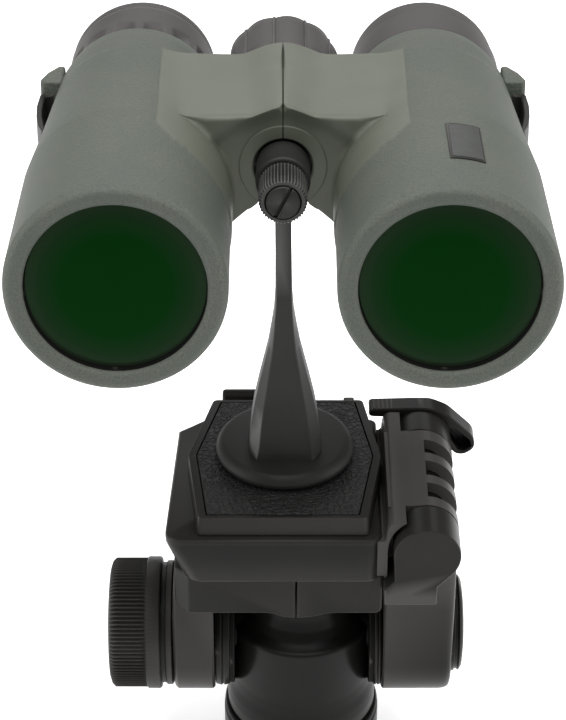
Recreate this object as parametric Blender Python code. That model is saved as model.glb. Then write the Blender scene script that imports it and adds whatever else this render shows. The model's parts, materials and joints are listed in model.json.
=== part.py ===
"""Folding roof-prism binoculars on a tripod adapter and a pan and tilt head.

Every length is written in millimetres and becomes metres where a mesh or an empty is
made. The origin is the centre of the underside of the head's base. +Z is up, -Y is
where the binoculars look, and +X is the side of the user's left eye.
"""
import math

import bmesh
import bpy
from mathutils import Matrix, Vector

MM = 0.001
GAP = 0.3
FINE = 28
PLAIN = 20
SMALL = 12

# The binoculars, in their own frame: y runs back from the objective rims, z up from
# the hinge axis. The barrels lie a little below that axis.
NOSE_UP = 6.1
BARREL_X = 39.1
BARREL_Z = -7.4
RIM_RADIUS = 26.5
APERTURE_RADIUS = 21.0
ARMOUR_END = 117.6
EYECUP_END = 142.0
RING_START = ARMOUR_END + GAP
RING_END = {"left": 133.0, "right": 137.0}
RING_RADIUS = {"left": 20.95, "right": 20.4}
BRIDGE_FRONT = 56.0
BRIDGE_REAR = 98.0
MIDDLE_KNUCKLE = (70.0, 84.0)
KNUCKLE_RADIUS = 10.0
RECESS_RADIUS = 8.65
AXLE_RADIUS = 5.0
AXLE_END = 121.0
WHEEL_RADIUS = 15.7
WHEEL_START = 100.6
WHEEL_END = 124.0
SCREW_RADIUS = 3.0
SCREW_SLOT_WIDTH = 0.9

# The adapter, in a frame at the centre of its head: z is down the post.
HEAD_STATION = 51.0
HEAD_RADIUS = 6.8
ADAPTER_X = -5.2
ADAPTER_Z = 190.0
FOOT_RADIUS = 18.35
FOOT_SHIFT = 0.5
FOOT_SETBACK = 3.7
BLADE_LEAN = 2.6
FOOT_TOP = -83.6
FOOT_BOTTOM = -88.1
BLADE_FRONT = -5.3
BLADE_REAR = 2.4

# The head, in world places.
PLATE_BOTTOM = 95.8
PLATE_TOP = 101.4
PLATE_SCREW_HEAD = 7.0
PLATFORM_BOTTOM = 81.4
PLATFORM_TOP = 95.5
SHOULDER_TOP = 100.6
SHOULDER_SIDE = 22.3
WALL_SIDE = 21.95
BRACKET_SIDE = 24.2
FLIP_X = 32.6
FLIP_Z = 92.0
FLIP_RADIUS = 8.85
FLIP_KNUCKLE = (-18.8, 14.9)
KNUCKLE_GAP = 1.4
BRACKET_FRONT = -30.0
BRACKET_REAR = 24.0
BEAM_BOTTOM = 68.0
BRACKET_BOTTOM = 76.0
BEAM_TOP = 81.1
BEAM_DEPTH = 23.8
BEAM_SPLIT = -1.7
TILT_Z = 45.1
ARM_RADIUS = 18.5
LEFT_ARM = (22.4, 41.3)
RIGHT_ARM = (-35.4, -24.2)
CORE_RADIUS = 19.7
CORE_TOP_RADIUS = 20.3
CORE_BOTTOM = 18.3
TILT_AXLE_RADIUS = 4.0
PAN_BOLT_RADIUS = 5.0
SKIRT_RADIUS = 20.9
BASE_RADIUS = 22.0


def clear_scene():
    for old in list(bpy.data.objects):
        bpy.data.objects.remove(old)


# Materials

def material(name, colour, roughness, metallic=0.0):
    made = bpy.data.materials.new(name)
    made.use_nodes = True
    shader = made.node_tree.nodes["Principled BSDF"]
    shader.inputs["Base Color"].default_value = (*colour, 1.0)
    shader.inputs["Roughness"].default_value = roughness
    shader.inputs["Metallic"].default_value = metallic
    return made


def make_materials():
    return {
        "armour": material("green_armour", (0.16, 0.18, 0.14), 0.75),
        "bridge": material("smooth_green_rubber", (0.20, 0.22, 0.18), 0.65),
        "cup": material("grey_rubber", (0.13, 0.12, 0.12), 0.7),
        "housing": material("cast_housing", (0.05, 0.05, 0.05), 0.5, 0.8),
        "cell": material("black_anodised", (0.02, 0.02, 0.02), 0.45, 0.6),
        "glass": material("coated_glass", (0.01, 0.12, 0.03), 0.05),
        "steel": material("steel", (0.5, 0.5, 0.5), 0.3, 1.0),
        "adapter": material("black_painted_metal", (0.03, 0.03, 0.03), 0.5, 0.5),
        "plastic": material("black_plastic", (0.02, 0.02, 0.02), 0.4),
        "pad": material("textured_pad", (0.03, 0.03, 0.03), 0.8),
        "badge": material("badge_plate", (0.02, 0.02, 0.02), 0.3),
    }


# Shape helpers: a cross point (a, b) and a station along an axis give a place.

def on_axis(axis, a, b, station):
    places = {"X": (station, a, b), "Y": (a, station, b), "Z": (a, b, station)}
    return Vector(places[axis]) * MM


def finish(name, shape):
    bmesh.ops.recalc_face_normals(shape, faces=shape.faces)
    mesh = bpy.data.meshes.new(name)
    shape.to_mesh(mesh)
    shape.free()
    made = bpy.data.objects.new(name, mesh)
    bpy.context.scene.collection.objects.link(made)
    return made


def turned(name, axis, profile, sides=PLAIN):
    """Turn a closed profile of (radius, station) points about an axis."""
    shape = bmesh.new()
    rings = []
    for radius, station in profile:
        if radius == 0:
            rings.append([shape.verts.new(on_axis(axis, 0, 0, station))] * sides)
            continue
        angles = [2 * math.pi * step / sides for step in range(sides)]
        rings.append([shape.verts.new(on_axis(axis, radius * math.cos(angle),
                                              radius * math.sin(angle), station))
                      for angle in angles])
    for ring, following in zip(rings, rings[1:] + rings[:1]):
        for step in range(sides):
            after = (step + 1) % sides
            corners = [ring[step], ring[after], following[after], following[step]]
            corners = list(dict.fromkeys(corners))
            if len(corners) > 2:
                shape.faces.new(corners)
    return finish(name, shape)


def prism(name, axis, outline, start, end):
    """Extrude a closed outline of (a, b) points along an axis."""
    shape = bmesh.new()
    corners = [shape.verts.new(on_axis(axis, a, b, start)) for a, b in outline]
    face = shape.faces.new(corners)
    grown = bmesh.ops.extrude_face_region(shape, geom=[face])["geom"]
    moved = [item for item in grown if isinstance(item, bmesh.types.BMVert)]
    shift = on_axis(axis, 0, 0, end - start)
    bmesh.ops.translate(shape, verts=moved, vec=shift)
    return finish(name, shape)


def block(name, x_range, y_range, z_range):
    outline = [(x_range[0], y_range[0]), (x_range[1], y_range[0]),
               (x_range[1], y_range[1]), (x_range[0], y_range[1])]
    return prism(name, "Z", outline, *z_range)


def rod(axis, radius, start, end, sides=PLAIN):
    return turned("tool", axis, [(0, start), (radius, start), (radius, end), (0, end)], sides)


def arc(centre, radius, start, end, steps):
    """Points along an arc, with its angles in degrees."""
    points = []
    for step in range(steps + 1):
        angle = math.radians(start + (end - start) * step / steps)
        points.append((centre[0] + radius * math.cos(angle),
                       centre[1] + radius * math.sin(angle)))
    return points


def shifted(tool, x, y, z):
    tool.data.transform(Matrix.Translation(Vector((x, y, z)) * MM))
    return tool


def mirrored(outline, side):
    return [(side * a, b) for a, b in outline]


def combine(target, tool, operation):
    """Join, cut or intersect the target with the tool, and remove the tool."""
    change = target.modifiers.new(operation.title(), "BOOLEAN")
    change.operation = operation
    change.solver = "EXACT"
    change.object = tool
    bpy.context.view_layer.objects.active = target
    bpy.ops.object.modifier_apply(modifier=change.name)
    bpy.data.objects.remove(tool)
    return target


def cut(target, tool):
    return combine(target, tool, "DIFFERENCE")


def join(target, tool):
    return combine(target, tool, "UNION")


def empty(name, parent, location, tilt=0.0):
    made = bpy.data.objects.new(name, None)
    bpy.context.scene.collection.objects.link(made)
    made.parent = parent
    made.location = Vector(location) * MM
    made.rotation_euler = (math.radians(tilt), 0.0, 0.0)
    return made


def place(made, parent, surface, location=(0, 0, 0)):
    made.parent = parent
    made.location = Vector(location) * MM
    made.data.materials.clear()
    made.data.materials.append(surface)
    made.data.shade_smooth()
    made.data.set_sharp_from_angle(angle=math.radians(30))
    return made


# Barrels: each piece is turned about its own barrel axis.

def armour_profile(grow=0.0):
    """The armour's outer line from the rim to the eyepiece end."""
    line = [(RIM_RADIUS, 2.2), (26.2, 49.0), (24.4, 74.0), (23.1, 98.0), (22.4, 110.0),
            (21.3, 117.0)]
    return [(radius + grow, station) for radius, station in line]


def armour(name):
    rim = [(21.6, 2.4), (21.6, 1.4), (22.6, 0.3), (24.0, 0.0), (25.6, 0.5)]
    inside = [(20.7, ARMOUR_END), (19.1, ARMOUR_END), (21.1, 98.0), (22.4, 74.0),
              (24.7, 49.0), (24.7, 2.4)]
    return turned(name, "Y", rim + armour_profile() + inside, FINE)


def housing(name):
    outside = [(24.4, 2.7), (24.4, 49.0), (22.1, 74.0), (20.8, 98.0), (18.8, ARMOUR_END)]
    rear_wall = [(14.3, ARMOUR_END), (14.3, 115.6), (17.2, 115.6)]
    inside = [(19.2, 98.0), (20.3, 74.0), (22.9, 49.0), (22.9, 2.7)]
    return turned(name, "Y", outside + rear_wall + inside, FINE)


def objective_cell(name):
    return turned(name, "Y", [(20.7, 5.0), (22.6, 5.0), (22.6, 15.0), (21.3, 15.0),
                              (21.3, 6.5), (20.7, 6.5)], FINE)


def objective_lens(name):
    front = [(0, 7.0), (8.0, 7.36), (15.0, 8.3), (APERTURE_RADIUS, 9.6)]
    return turned(name, "Y", front + [(APERTURE_RADIUS, 13.0), (0, 12.2)])


def focus_cell(name):
    return turned(name, "Y", [(15.3, 40.0), (18.0, 40.0), (18.0, 47.0), (15.3, 47.0)])


def focus_lens(name):
    return turned(name, "Y", [(0, 42.4), (15.0, 41.0), (15.0, 45.6), (0, 44.2)])


def prism_cage(name):
    cage = turned(name, "Y", [(0, 62.0), (18.5, 62.0), (18.5, 92.0), (0, 92.0)])
    return cut(cage, block("tool", (-11.3, 11.3), (60.0, 94.0), (-11.3, 11.3)))


def roof_prism(name):
    outline = [(64, -11), (86, -11), (90, -7), (90, 11), (68, 11), (64, 7)]
    return prism(name, "X", outline, -11, 11)


def eyepiece_tube(name):
    return turned(name, "Y", [(12.6, 104.0), (14.0, 104.0), (14.0, RING_START),
                              (15.5, RING_START), (15.5, 136.0), (12.6, 136.0)])


def eye_lens(name):
    return turned(name, "Y", [(0, 126.5), (12.3, 128.0), (12.3, 131.0), (0, 132.5)], SMALL)


def eyepiece_ring(name, side):
    radius = RING_RADIUS[side]
    end = RING_END[side]
    return turned(name, "Y", [(17.5, RING_START), (radius - 0.4, RING_START),
                              (radius, RING_START + 0.6), (radius, end - 0.6),
                              (radius - 0.5, end), (17.5, end)], FINE)


def sleeve_end(side):
    return RING_END[side] + 2.0


def eyecup_sleeve(name, side):
    return turned(name, "Y", [(15.8, 119.0), (17.2, 119.0), (17.2, sleeve_end(side)),
                              (15.8, sleeve_end(side))])


def eyecup(name, side):
    start = RING_END[side] + GAP
    shoulder = sleeve_end(side) + GAP
    return turned(name, "Y", [(17.5, start), (20.2, start), (20.2, EYECUP_END - 1.0),
                              (19.4, EYECUP_END), (16.6, EYECUP_END),
                              (15.8, EYECUP_END - 0.8), (15.8, shoulder), (17.5, shoulder)])


def strap_lug(name, side):
    """A bowed bar beside the barrel and the lug that it grows from."""
    outline = [(20, 79.5), (25, 81), (26.4, 88), (26.4, 109), (25.2, 117.2), (20, 117.2),
               (20, 106), (25.1, 106), (25.1, 89), (20, 89)]
    lug = prism(name, "Z", mirrored(outline, side), -1.5, 7.5)
    barrel = [(0, 2.2)] + armour_profile(GAP) + [(21.5, 125), (0, 125)]
    return cut(lug, turned("tool", "Y", barrel, FINE))


def badge(name):
    """A blank plate curved round the top of the barrel."""
    inner = RIM_RADIUS + 0.1
    outer = inner + 0.7
    outline = arc((0, 0), inner, 90, 71, 4) + arc((0, 0), outer, 71, 90, 4)
    return prism(name, "Y", outline, 17, 38)


# Bridge and hinge, about the hinge axis.

def bridge_outline():
    """The section of one half: along its top, under the arm and round the knuckle."""
    top = [(GAP / 2, 18.0), (5.5, 17.6), (9.5, 16.0), (12.5, 15.5), (20, 15.4), (27.5, 15.7),
           (34, 15.7)]
    underside = [(34, -17), (14.6, -17), (13.5, -16.2), (9.5, -12.6), (6.7, -10.4)]
    return top + underside + arc((0, 0), KNUCKLE_RADIUS, -56, -270.8, 13)


def bridge(name, side):
    """Half of the bridge, with its share of the hinge's knuckles."""
    half = prism(name, "Y", mirrored(bridge_outline(), side), BRIDGE_FRONT, BRIDGE_REAR)
    barrel = turned("tool", "Y", [(0, 48)] + armour_profile(GAP)[1:] + [(0, 117)], FINE)
    cut(half, shifted(barrel, side * BARREL_X, 0, BARREL_Z))
    middle_start, middle_end = MIDDLE_KNUCKLE
    clearance = KNUCKLE_RADIUS + GAP
    if side > 0:
        cut(half, rod("Y", clearance, middle_start, middle_end))
        cut(half, rod("Y", RECESS_RADIUS, BRIDGE_FRONT - 1, 60.3))
    else:
        cut(half, rod("Y", clearance, BRIDGE_FRONT - 1, middle_start + GAP))
        cut(half, rod("Y", clearance, middle_end - GAP, BRIDGE_REAR + 1))
    return cut(half, rod("Y", AXLE_RADIUS + GAP, BRIDGE_FRONT - 1, BRIDGE_REAR + 1))


def hinge_axle():
    bore = SCREW_RADIUS + GAP
    head = RECESS_RADIUS - GAP
    return turned("hinge_axle", "Y", [(bore, 57.3), (head, 57.3), (head, 60.0),
                                      (AXLE_RADIUS, 60.0), (AXLE_RADIUS, AXLE_END),
                                      (bore, AXLE_END)])


def focus_wheel():
    bore = AXLE_RADIUS + GAP
    return turned("focus_wheel", "Y", [(bore, WHEEL_START), (14.5, WHEEL_START),
                                       (WHEEL_RADIUS, WHEEL_START + 1), (WHEEL_RADIUS, 122.8),
                                       (14.6, WHEEL_END), (9.0, WHEEL_END), (9.0, 121.5),
                                       (bore, 121.5)], FINE)


def focus_cap():
    return turned("focus_wheel_cap", "Y", [(0, 121.8), (8.7, 121.8), (8.7, 124.2),
                                           (8.1, 124.8), (0, 124.8)])


def focus_screw():
    return rod("Y", SCREW_RADIUS, 74.0, 119.0, SMALL)


# Adapter

def adapter_post():
    """A flared blade on a round foot, with a head that lines up with the hinge."""
    post = turned("adapter_post", "Z", [(0, FOOT_BOTTOM), (17.6, FOOT_BOTTOM),
                                        (FOOT_RADIUS, -87.2), (FOOT_RADIUS, -84.8),
                                        (17.3, FOOT_TOP), (0, FOOT_TOP)], FINE)
    shifted(post, FOOT_SHIFT, FOOT_SETBACK, 0)
    half_widths = [(2.1, 1), (2.1, -34), (2.4, -40), (3.5, -50), (5.95, -62), (8.2, -72),
                   (9.8, -84.5)]
    outline = half_widths + [(-a, b) for a, b in reversed(half_widths)]
    blade = prism("tool", "Y", outline, BLADE_FRONT, BLADE_REAR)
    leaned = Matrix.Identity(4)
    leaned[1][2] = BLADE_LEAN / FOOT_TOP
    blade.data.transform(leaned)
    join(post, blade)
    lean = Matrix.Rotation(math.radians(-NOSE_UP), 4, "X")
    head = rod("Y", HEAD_RADIUS, -5.6, 6.0)
    head.data.transform(lean)
    join(post, head)
    bore = rod("Y", SCREW_RADIUS + GAP, -12, 12, SMALL)
    bore.data.transform(lean)
    cut(post, bore)
    foot_bore = rod("Z", SCREW_RADIUS + GAP, FOOT_BOTTOM - 1, -80, SMALL)
    return cut(post, shifted(foot_bore, FOOT_SHIFT, FOOT_SETBACK, 0))


def adapter_knob():
    bore = SCREW_RADIUS + GAP
    return turned("adapter_knob", "Y", [(4.55, 34.0), (6.0, 34.0), (6.0, 45.1),
                                        (bore, 45.1), (bore, 37.0), (4.55, 37.0)])


def adapter_screw():
    screw = turned("adapter_screw", "Y", [(0, 33.5), (4.25, 33.5), (4.25, 36.7),
                                          (SCREW_RADIUS, 36.7), (SCREW_RADIUS, 68.0),
                                          (0, 68.0)], SMALL)
    slot = block("tool", (-6, 6), (32, 34.7), (-SCREW_SLOT_WIDTH / 2, SCREW_SLOT_WIDTH / 2))
    slot.data.transform(Matrix.Rotation(math.radians(-50), 4, "Y"))
    return cut(screw, slot)


# Quick-release plate and platform

def plate_outline(side_inset, end_inset):
    """A long hexagon, widest near its middle."""
    right = [(22.5 - side_inset, -25.4 + end_inset), (26.8 - side_inset, 2.3),
             (22.5 - side_inset, 29.0 - end_inset)]
    left = [(-19.7 + side_inset, 29.0 - end_inset), (-25.9 + side_inset, 2.7),
            (-22.6 + side_inset, -25.4 + end_inset)]
    return [(ADAPTER_X + a, b) for a, b in right + left]


def centred_rod(radius, start, end):
    return shifted(rod("Z", radius, start, end, SMALL), ADAPTER_X + FOOT_SHIFT,
                   FOOT_SETBACK, 0)


def qr_plate():
    plate = prism("qr_plate", "Z", plate_outline(0, 0), PLATE_BOTTOM, PLATE_TOP)
    cut(plate, prism("tool", "Z", plate_outline(2.4, 1.5), 99.8, PLATE_TOP + 1))
    cut(plate, centred_rod(PLATE_SCREW_HEAD + GAP, PLATE_BOTTOM - 1, 98.0))
    return cut(plate, centred_rod(SCREW_RADIUS + GAP, 97.0, 101.0))


def qr_pad():
    pad = prism("qr_pad", "Z", plate_outline(2.7, 1.8), 100.1, 101.6)
    return cut(pad, centred_rod(SCREW_RADIUS + GAP, 99.0, 103.0))


def plate_screw():
    screw = turned("plate_screw", "Z", [(0, 96.0), (PLATE_SCREW_HEAD, 96.0),
                                        (PLATE_SCREW_HEAD, 97.7), (SCREW_RADIUS, 97.7),
                                        (SCREW_RADIUS, 108.0), (0, 108.0)], SMALL)
    return shifted(screw, ADAPTER_X + FOOT_SHIFT, FOOT_SETBACK, 0)


def platform():
    """A thick tray with the middle knuckle of the flip hinge on its side."""
    corner = 5.0
    right, left, front, rear = 20.8, -36.2, -27.5, 28.0
    outline = (arc((right - corner, front + corner), corner, -90, 0, 3)
               + arc((right - corner, rear - corner), corner, 0, 90, 3)
               + [(-26.5, rear), (-34.1, 22.5)]
               + arc((left + corner, front + corner), corner, 180, 270, 3))
    tray = prism("platform", "Z", outline, PLATFORM_BOTTOM, PLATFORM_TOP)
    undercut = [(left - 4, PLATFORM_BOTTOM - 1), (left + 5, PLATFORM_BOTTOM - 1),
                (left, 92.0), (left - 4, 92.0)]
    cut(tray, prism("tool", "Y", undercut, front - 5, rear + 5))
    start, end = FLIP_KNUCKLE
    web = [(14, 83), (26, 83), (FLIP_X, FLIP_Z - 7), (FLIP_X, SHOULDER_TOP),
           (WALL_SIDE, SHOULDER_TOP), (WALL_SIDE, 95.2), (14, 95.2)]
    join(tray, prism("tool", "Y", web, start, end))
    shoulder = [(14, 83.2), (SHOULDER_SIDE, 83.2), (SHOULDER_SIDE, FLIP_Z), (30, FLIP_Z),
                (30, SHOULDER_TOP), (WALL_SIDE, SHOULDER_TOP), (WALL_SIDE, 95.2), (14, 95.2)]
    join(tray, prism("tool", "Y", shoulder, front + 1, BRACKET_REAR - 0.2))
    for ear_start, ear_end in ((front - 1, start), (end, BRACKET_REAR + 1)):
        ear = rod("Y", FLIP_RADIUS + KNUCKLE_GAP, ear_start, ear_end)
        cut(tray, shifted(ear, FLIP_X, 0, FLIP_Z))
    join(tray, shifted(rod("Y", FLIP_RADIUS, start, end), FLIP_X, 0, FLIP_Z))
    pin_hole = shifted(rod("Y", SCREW_RADIUS + GAP, start - 1, end + 1, SMALL),
                       FLIP_X, 0, FLIP_Z)
    return cut(tray, pin_hole)


def qr_catch():
    """A thumb tab behind the platform, turning on the pin line at its foot."""
    outline = [(30.0, 88.6), (32.6, 88.6), (35.0, 94.0), (35.4, 100.3), (33.4, 101.3),
               (31.2, 100.1), (30.4, 94.5), (29.3, 91.0)]
    return prism("qr_catch", "X", outline, -22.2, -11.2)


# Flip hinge, yoke and core

def flip_pin():
    pin = rod("Y", SCREW_RADIUS, -29.7, 23.7, SMALL)
    pin.name = "flip_pin"
    return shifted(pin, FLIP_X, 0, FLIP_Z)


def flip_lever():
    outline = [(18.6, 97.3), (27, 97.2), (28, 87), (33, 84.4), (38.4, 89.5), (44.2, 85.4),
               (48.3, 88.4), (47.3, 92.4), (36.0, 101.2), (18.6, 101.0)]
    return prism("flip_lever", "Y", outline, 24.3, 30.0)


def arm_outline():
    """A yoke arm from its round end up to the beam."""
    start_angle, end_angle = 180, 360
    lower = arc((0, TILT_Z), ARM_RADIUS, start_angle, end_angle, 10)
    upper = [(BEAM_DEPTH, BEAM_BOTTOM), (BEAM_DEPTH, BEAM_TOP), (-BEAM_DEPTH, BEAM_TOP),
             (-BEAM_DEPTH, BEAM_BOTTOM)]
    return lower + upper


def axle_hole(start, end):
    return shifted(rod("X", TILT_AXLE_RADIUS + GAP, start, end, SMALL), 0, 0, TILT_Z)


def yoke_right():
    """The arm on the user's right and its half of the beam."""
    start, end = RIGHT_ARM
    half = prism("yoke_right", "X", arm_outline(), start, end)
    beam = block("tool", (start + 4, BEAM_SPLIT - GAP / 2), (-BEAM_DEPTH, BEAM_DEPTH),
                 (BEAM_BOTTOM, BEAM_TOP))
    join(half, beam)
    return cut(half, axle_hole(start - 1, end + 1))


def yoke_left():
    """The arm on the user's left, its half of the beam and the flip hinge's bracket."""
    start, end = LEFT_ARM
    half = prism("yoke_left", "X", arm_outline(), start, end)
    join(half, block("tool", (BEAM_SPLIT + GAP / 2, start + 4), (-BEAM_DEPTH, BEAM_DEPTH),
                     (BEAM_BOTTOM, BEAM_TOP)))
    hinge = (FLIP_X, FLIP_Z)
    bracket = [(35.5, BRACKET_BOTTOM), (35.5, 82.0)] + arc(hinge, FLIP_RADIUS, -43, 178, 12)
    bracket += [(BRACKET_SIDE, 84.0), (21.6, BEAM_TOP), (21.6, BRACKET_BOTTOM)]
    join(half, prism("tool", "Y", bracket, BRACKET_FRONT, BRACKET_REAR))
    gap_start, gap_end = FLIP_KNUCKLE
    cut(half, block("tool", (20, 50), (gap_start - GAP, gap_end + GAP),
                    (BEAM_TOP + 1.4, 110)))
    pin_hole = rod("Y", SCREW_RADIUS + GAP, BRACKET_FRONT - 1, BRACKET_REAR + 1, SMALL)
    cut(half, shifted(pin_hole, FLIP_X, 0, FLIP_Z))
    return cut(half, axle_hole(start - 1, end + 1))


def tilt_axle():
    axle = rod("X", TILT_AXLE_RADIUS, -48.5, 41.3, SMALL)
    axle.name = "tilt_axle"
    return shifted(axle, 0, 0, TILT_Z)


def friction_disc(name, start, end):
    bore = TILT_AXLE_RADIUS + GAP
    disc = turned(name, "X", [(bore, start), (17.0, start), (17.0, end), (bore, end)])
    return shifted(disc, 0, 0, TILT_Z)


def tilt_knob():
    bore = TILT_AXLE_RADIUS + GAP
    knob = turned("tilt_knob", "X", [(0, -53.9), (17.5, -53.9), (ARM_RADIUS, -52.8),
                                     (ARM_RADIUS, -39.1), (17.3, -39.1), (17.3, -35.7),
                                     (bore, -35.7), (bore, -48.8),
                                     (0, -48.8)], FINE)
    return shifted(knob, 0, 0, TILT_Z)


def tilt_cap():
    cap = turned("tilt_cap", "X", [(0, 41.6), (13.0, 41.6), (13.0, 44.2), (12.0, 45.2),
                                   (0, 45.2)])
    return shifted(cap, 0, 0, TILT_Z)


def core():
    """An upright drum whose top is rounded about the tilt axis."""
    drum = turned("core", "Z", [(0, CORE_BOTTOM), (SKIRT_RADIUS, CORE_BOTTOM),
                                (SKIRT_RADIUS, 24.5), (CORE_RADIUS, 27.6),
                                (CORE_RADIUS, 70), (0, 70)], FINE)
    top = arc((0, TILT_Z), CORE_TOP_RADIUS, 0, 180, 12)
    outline = top + [(-CORE_TOP_RADIUS, 28), (-SKIRT_RADIUS - 1, 27), (-SKIRT_RADIUS - 1, 10),
                     (SKIRT_RADIUS + 1, 10), (SKIRT_RADIUS + 1, 27), (CORE_TOP_RADIUS, 28)]
    combine(drum, prism("tool", "X", outline, -25, 25), "INTERSECT")
    cut(drum, axle_hole(-25, 25))
    return cut(drum, rod("Z", PAN_BOLT_RADIUS + GAP, 10, 32, SMALL))


def pan_base():
    bore = PAN_BOLT_RADIUS + GAP
    return turned("pan_base", "Z", [(0, 0), (21.4, 0), (BASE_RADIUS, 0.6),
                                    (BASE_RADIUS, 17.2), (21.2, 18.0), (bore, 18.0),
                                    (bore, 5.0), (0, 5.0)], FINE)


def pan_bolt():
    bolt = rod("Z", PAN_BOLT_RADIUS, 5.3, 31.5, SMALL)
    bolt.name = "pan_bolt"
    return bolt


# Assembly

def build_barrel(side, sign, frame, surfaces):
    """Every piece that swings with one barrel."""
    spot = (sign * BARREL_X, 0, BARREL_Z)
    place(armour(f"{side}_armour"), frame, surfaces["armour"], spot)
    place(housing(f"{side}_housing"), frame, surfaces["housing"], spot)
    place(objective_cell(f"{side}_objective_cell"), frame, surfaces["cell"], spot)
    place(objective_lens(f"{side}_objective_lens"), frame, surfaces["glass"], spot)
    place(focus_cell(f"{side}_focus_cell"), frame, surfaces["cell"], spot)
    place(focus_lens(f"{side}_focus_lens"), frame, surfaces["glass"], spot)
    place(prism_cage(f"{side}_prism_cage"), frame, surfaces["housing"], spot)
    place(roof_prism(f"{side}_prism"), frame, surfaces["glass"], spot)
    place(eyepiece_tube(f"{side}_eyepiece_tube"), frame, surfaces["cell"], spot)
    place(eye_lens(f"{side}_eye_lens"), frame, surfaces["glass"], spot)
    place(eyecup_sleeve(f"{side}_eyecup_sleeve", side), frame, surfaces["cell"], spot)
    place(eyecup(f"{side}_eyecup", side), frame, surfaces["cup"], spot)
    place(strap_lug(f"{side}_strap_lug", sign), frame, surfaces["plastic"], spot)
    place(bridge(f"{side}_bridge", sign), frame, surfaces["bridge"])
    ring_names = {"left": "left_eyepiece_ring", "right": "diopter_ring"}
    place(eyepiece_ring(ring_names[side], side), frame, surfaces["cup"], spot)


def build_binoculars(surfaces):
    lean = math.radians(NOSE_UP)
    front = (ADAPTER_X, -HEAD_STATION * math.cos(lean), ADAPTER_Z + HEAD_STATION * math.sin(lean))
    frame = empty("binocular_frame", None, front, -NOSE_UP)
    for side, sign in (("left", 1), ("right", -1)):
        barrel_frame = empty(f"{side}_barrel_frame", frame, (0, 0, 0))
        build_barrel(side, sign, barrel_frame, surfaces)
        if side == "left":
            place(badge("badge"), barrel_frame, surfaces["badge"], (BARREL_X, 0, BARREL_Z))
    place(hinge_axle(), frame, surfaces["steel"])
    place(focus_wheel(), frame, surfaces["cup"])
    place(focus_cap(), frame, surfaces["cup"])
    screw = focus_screw()
    screw.name = "focus_screw"
    place(screw, frame, surfaces["steel"])
    place(adapter_knob(), frame, surfaces["adapter"])
    place(adapter_screw(), frame, surfaces["adapter"])


def build_head(surfaces):
    place(adapter_post(), None, surfaces["adapter"], (ADAPTER_X, 0, ADAPTER_Z))
    place(qr_plate(), None, surfaces["plastic"])
    place(qr_pad(), None, surfaces["pad"])
    place(plate_screw(), None, surfaces["steel"])
    place(flip_pin(), None, surfaces["steel"])
    place(tilt_axle(), None, surfaces["steel"])
    place(pan_bolt(), None, surfaces["steel"])
    place(friction_disc("right_friction_disc", -23.9, -20.0), None, surfaces["plastic"])
    place(friction_disc("left_friction_disc", 20.0, 22.1), None, surfaces["plastic"])
    for make in (platform, qr_catch, flip_lever, yoke_right, yoke_left, tilt_knob, tilt_cap,
                 core, pan_base):
        place(make(), None, surfaces["plastic"])


def main():
    clear_scene()
    surfaces = make_materials()
    build_binoculars(surfaces)
    build_head(surfaces)


main()
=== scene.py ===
"""The looks of the binoculars, their adapter and the tripod head.

Lengths are written in millimetres and become metres where a mesh is made. Pieces of the
binoculars are built in the binoculars' own frame, where y runs back from the objective
rims and z is up from the hinge axis, and a matrix worked out from the fold joint puts
them in place.
"""

import json
import math

import bmesh
import bpy
from mathutils import Matrix, Vector


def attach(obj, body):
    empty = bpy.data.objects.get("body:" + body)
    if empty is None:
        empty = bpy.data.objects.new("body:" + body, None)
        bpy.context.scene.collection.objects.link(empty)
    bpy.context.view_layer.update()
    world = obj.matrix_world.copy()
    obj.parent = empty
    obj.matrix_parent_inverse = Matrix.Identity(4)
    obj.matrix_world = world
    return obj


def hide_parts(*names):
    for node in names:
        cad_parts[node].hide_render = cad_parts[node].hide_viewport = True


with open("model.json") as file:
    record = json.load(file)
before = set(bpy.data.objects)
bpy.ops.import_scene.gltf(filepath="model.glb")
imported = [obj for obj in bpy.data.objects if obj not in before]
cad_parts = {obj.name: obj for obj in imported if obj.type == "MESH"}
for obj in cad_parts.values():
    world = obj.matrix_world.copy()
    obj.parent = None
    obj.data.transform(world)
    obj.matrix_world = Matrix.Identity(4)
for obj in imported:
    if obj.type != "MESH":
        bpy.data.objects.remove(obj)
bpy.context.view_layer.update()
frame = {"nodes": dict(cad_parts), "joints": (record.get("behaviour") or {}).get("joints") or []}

MM = 0.001
BARREL_X = 39.1
BARREL_Z = -7.4
HINGE_STATION = 77.0
ARMOUR_END = 117.6
LENS_RADIUS = 21.3
FLUTES, WHEEL_LOBES, CLAMP_RIDGES, KNOB_RIBS = 16, 11, 42, 96
BRIDGE_FRONT = 56.0
BRIDGE_REAR = 98.0
ADAPTER_X = -5.2
ADAPTER_Z = 190.0
FOOT_SHIFT = 0.5
FOOT_SETBACK = 3.7
BLADE_LEAN = 2.6
FLIP_X, FLIP_Z, FLIP_RADIUS = 32.6, 92.0, 8.85
TILT_Z = 45.1


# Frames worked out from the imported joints

joints = {joint["name"]: joint for joint in frame["joints"]}
along = Vector(joints["fold_left"]["axis"])
lean = math.atan2(along.z, along.y)
BINOCULAR = (Matrix.Translation(Vector(joints["fold_left"]["pos_m"]))
             @ Matrix.Rotation(lean, 4, "X")
             @ Matrix.Translation(Vector((0, -HINGE_STATION, 0)) * MM))
WORLD = Matrix.Identity(4)
SIDES = {"left": 1, "right": -1}


def barrel_frame(side):
    return BINOCULAR @ Matrix.Translation(Vector((SIDES[side] * BARREL_X, 0, BARREL_Z)) * MM)


# Material helpers

def node(tree, kind, **settings):
    made = tree.nodes.new(kind)
    for name, value in settings.items():
        setattr(made, name, value)
    return made


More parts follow.
